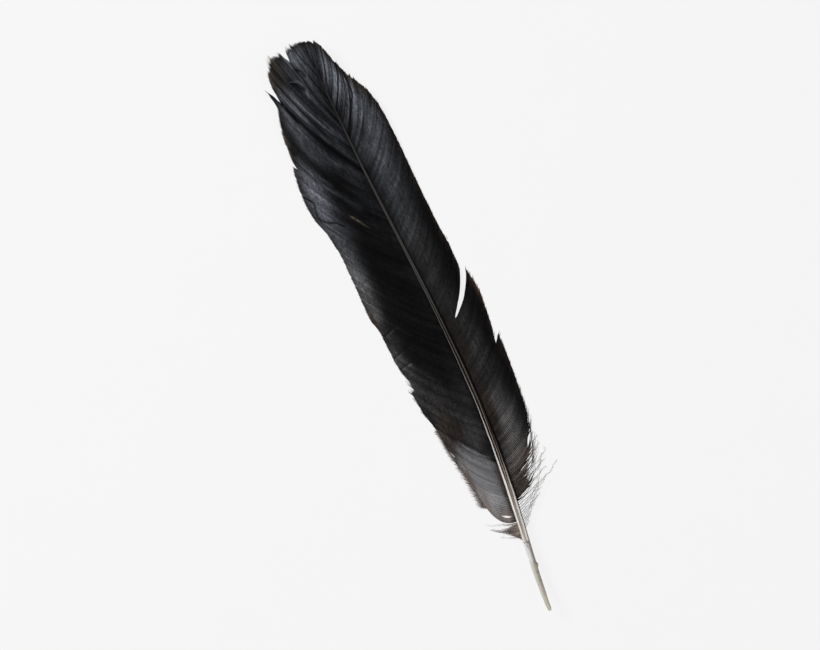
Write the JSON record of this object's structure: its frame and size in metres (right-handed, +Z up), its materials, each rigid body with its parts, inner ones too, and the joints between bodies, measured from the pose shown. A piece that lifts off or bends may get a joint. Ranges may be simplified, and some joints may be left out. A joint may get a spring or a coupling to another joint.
{
  "type": "quill pen",
  "caption": "Writing quill cut from a dark crow tail feather: hollow barrel with a split nib, grooved shaft, wide and narrow vanes parted into tracts, and loose down at the base.",
  "frame": {"origin": "on the table, under the centre of the pen's outline, with the shaft's back down and its groove up", "axes": "+X from the nib to the feather's tip, +Y towards the wide vane, +Z up from the table"},
  "size_m": [0.2002, 0.0408, 0.0056],
  "materials": {
    "barrel_horn": "smooth pale translucent horn",
    "pulp_skin": "thin dry skin",
    "pith": "matt white foam",
    "shaft_horn": "streaked horn, satin",
    "vane": "black barbs with a soft grey-blue sheen",
    "down": "loose grey-brown down"
  },
  "bodies": {
    "root": {"barrel_with_nib": "barrel_horn", "pulp_cap_1": "pulp_skin", "pulp_cap_2": "pulp_skin", "pulp_cap_3": "pulp_skin", "pulp_cap_4": "pulp_skin", "pulp_cap_5": "pulp_skin", "umbilicus_plug": "pith", "shaft_sheath": "shaft_horn", "shaft_pith": "pith", "vane_left_base": "vane", "vane_left_lower": "vane", "vane_left_middle": "vane", "vane_left_upper": "vane", "vane_left_shoulder": "vane", "vane_left_tip": "vane", "vane_right_tip": "vane", "vane_right_notch": "vane", "vane_right_shoulder": "vane", "vane_right_upper": "vane", "vane_right_middle": "vane", "vane_right_base": "vane", "downy_barb_left_1": "down", "downy_barb_left_2": "down", "downy_barb_left_3": "down", "downy_barb_left_4": "down", "downy_barb_left_5": "down", "downy_barb_right_1": "down", "downy_barb_right_2": "down", "downy_barb_right_3": "down", "downy_barb_right_4": "down", "downy_barb_right_5": "down", "downy_barb_right_6": "down", "downy_barb_right_7": "down", "downy_barb_right_8": "down", "downy_barb_right_9": "down", "downy_barb_right_10": "down", "downy_barb_right_11": "down"}
  },
  "joints": []
}
